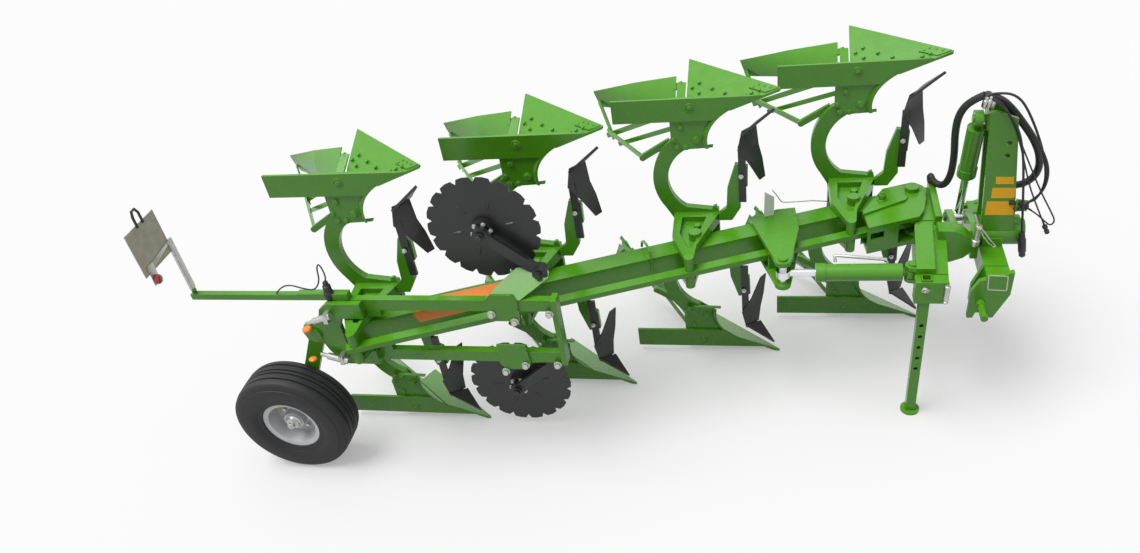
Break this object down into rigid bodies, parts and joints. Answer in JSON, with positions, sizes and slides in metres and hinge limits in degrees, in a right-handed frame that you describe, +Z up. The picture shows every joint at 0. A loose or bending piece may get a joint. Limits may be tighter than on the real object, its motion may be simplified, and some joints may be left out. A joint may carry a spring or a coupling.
{
  "type": "reversible mouldboard plough",
  "caption": "Mounted reversible plough with paired mouldboard bottoms on an angled beam, disc coulters, skimmers, depth wheel, turnover headstock and parking stand.",
  "frame": {"origin": "on the floor under the middle of the overall box", "axes": "+X in the direction of travel, +Y to the left, +Z up"},
  "size_m": [4.38, 2.0968, 1.75],
  "materials": {
    "green": "gloss",
    "black_steel": "satin",
    "silver": "satin",
    "tyre": "matt",
    "chrome": "polished",
    "zinc": "satin",
    "board": "matt"
  },
  "bodies": {
    "headstock": {"headstock": "green", "mast": "green", "link_pins": "zinc"},
    "carrier": {"carrier": "green", "stand_holder": "green"},
    "beam": {"beam": "green", "beam_head": "green", "lever_bracket": "green"},
    "control_rod": {"control_rod": "green"},
    "width_barrel": {"width_barrel": "green"},
    "width_rod": {"width_rod": "chrome"},
    "turnover_barrel": {"turnover_barrel": "green"},
    "turnover_rod": {"turnover_rod": "chrome"},
    "stand": {"stand": "green"},
    "wheel_arm": {"wheel_arm": "green"},
    "wheel": {"rim": "silver", "tyre": "tyre"},
    "disc_upper": {"disc_upper": "black_steel"},
    "disc_lower": {"disc_lower": "black_steel"},
    "bottom_1": {"console_1": "green", "legs_1": "green", "landsides_1": "green", "shares_1": "green", "mouldboards_1": "green", "skimmers_1": "black_steel"},
    "bottom_2": {"console_2": "green", "legs_2": "green", "landsides_2": "green", "shares_2": "green", "mouldboards_2": "green", "skimmers_2": "black_steel"},
    "bottom_3": {"console_3": "green", "legs_3": "green", "landsides_3": "green", "shares_3": "green", "mouldboards_3": "green", "skimmers_3": "black_steel"},
    "bottom_4": {"console_4": "green", "legs_4": "green", "landsides_4": "green", "shares_4": "green", "mouldboards_4": "green", "skimmers_4": "black_steel", "rails": "green", "coulter_arms": "black_steel", "wheel_bracket": "green", "wheel_stops": "zinc", "light_pole": "green", "light_board": "board"}
  },
  "joints": [
    {"name": "turnover", "type": "hinge", "parent": "headstock", "child": "carrier", "pos_m": [2.065, 0.08563, 0.875], "axis": [1, 0, 0], "range_deg": [0, 180]},
    {"name": "width", "type": "hinge", "parent": "carrier", "child": "beam", "pos_m": [1.655, 0.35914, 0.875], "axis": [0, 0, 1], "range_deg": [0, 11]},
    {"name": "control_rod_pivot", "type": "hinge", "parent": "carrier", "child": "control_rod", "pos_m": [1.636, 0.17014, 0.875], "axis": [0, 0, 1], "range_deg": [0, 11]},
    {"name": "bottom_1_pivot", "type": "hinge", "parent": "beam", "child": "bottom_1", "pos_m": [1.335, 0.2349, 0.875], "axis": [0, 0, 1], "range_deg": [-11, 0]},
    {"name": "bottom_2_pivot", "type": "hinge", "parent": "beam", "child": "bottom_2", "pos_m": [0.485, -0.0951, 0.875], "axis": [0, 0, 1], "range_deg": [-11, 0]},
    {"name": "bottom_3_pivot", "type": "hinge", "parent": "beam", "child": "bottom_3", "pos_m": [-0.365, -0.4251, 0.875], "axis": [0, 0, 1], "range_deg": [-11, 0]},
    {"name": "bottom_4_pivot", "type": "hinge", "parent": "beam", "child": "bottom_4", "pos_m": [-1.215, -0.7551, 0.875], "axis": [0, 0, 1], "range_deg": [-11, 0]},
    {"name": "width_barrel_pivot", "type": "hinge", "parent": "carrier", "child": "width_barrel", "pos_m": [1.6, -0.29137, 0.875], "axis": [0, 0, 1], "range_deg": [0, 14.1]},
    {"name": "width_rod_slide", "type": "slide", "parent": "width_barrel", "child": "width_rod", "axis": [-1, -0.0078, 0], "range_m": [-0.1234, 0]},
    {"name": "turnover_barrel_pivot", "type": "hinge", "parent": "headstock", "child": "turnover_barrel", "pos_m": [1.885, 0.08563, 1.53], "axis": [1, 0, 0], "range_deg": [-22.6, 0]},
    {"name": "turnover_rod_slide", "type": "slide", "parent": "turnover_barrel", "child": "turnover_rod", "axis": [0, 0.1947, -0.9809], "range_m": [-0.14, 0]},
    {"name": "stand_slide", "type": "slide", "parent": "carrier", "child": "stand", "axis": [0, 0, 1], "range_m": [0, 0.3]},
    {"name": "wheel_arm_swing", "type": "hinge", "parent": "bottom_4", "child": "wheel_arm", "pos_m": [-1.51, -0.79637, 0.875], "axis": [0, 1, 0], "range_deg": [0, 75]},
    {"name": "wheel_spin", "type": "hinge", "parent": "wheel_arm", "child": "wheel", "pos_m": [-1.771, -0.93137, 0.338], "axis": [0, 1, 0], "continuous": true},
    {"name": "disc_upper_spin", "type": "hinge", "parent": "bottom_4", "child": "disc_upper", "pos_m": [-0.5, -0.62337, 1.4], "axis": [0, 1, 0], "continuous": true},
    {"name": "disc_lower_spin", "type": "hinge", "parent": "bottom_4", "child": "disc_lower", "pos_m": [-0.5, -0.62337, 0.35], "axis": [0, 1, 0], "continuous": true}
  ],
  "couplings": [
    {"joint": "control_rod_pivot", "follows": "width", "ratio": 1},
    {"joint": "bottom_1_pivot", "follows": "width", "ratio": -1},
    {"joint": "bottom_2_pivot", "follows": "width", "ratio": -1},
    {"joint": "bottom_3_pivot", "follows": "width", "ratio": -1},
    {"joint": "bottom_4_pivot", "follows": "width", "ratio": -1},
    {"joint": "width_barrel_pivot", "follows": "width", "ratio": 1.2342},
    {"joint": "width_rod_slide", "follows": "width", "m_per_rad": -0.63759},
    {"joint": "turnover_barrel_pivot", "follows": "turnover", "ratio": -0.12473}
  ]
}
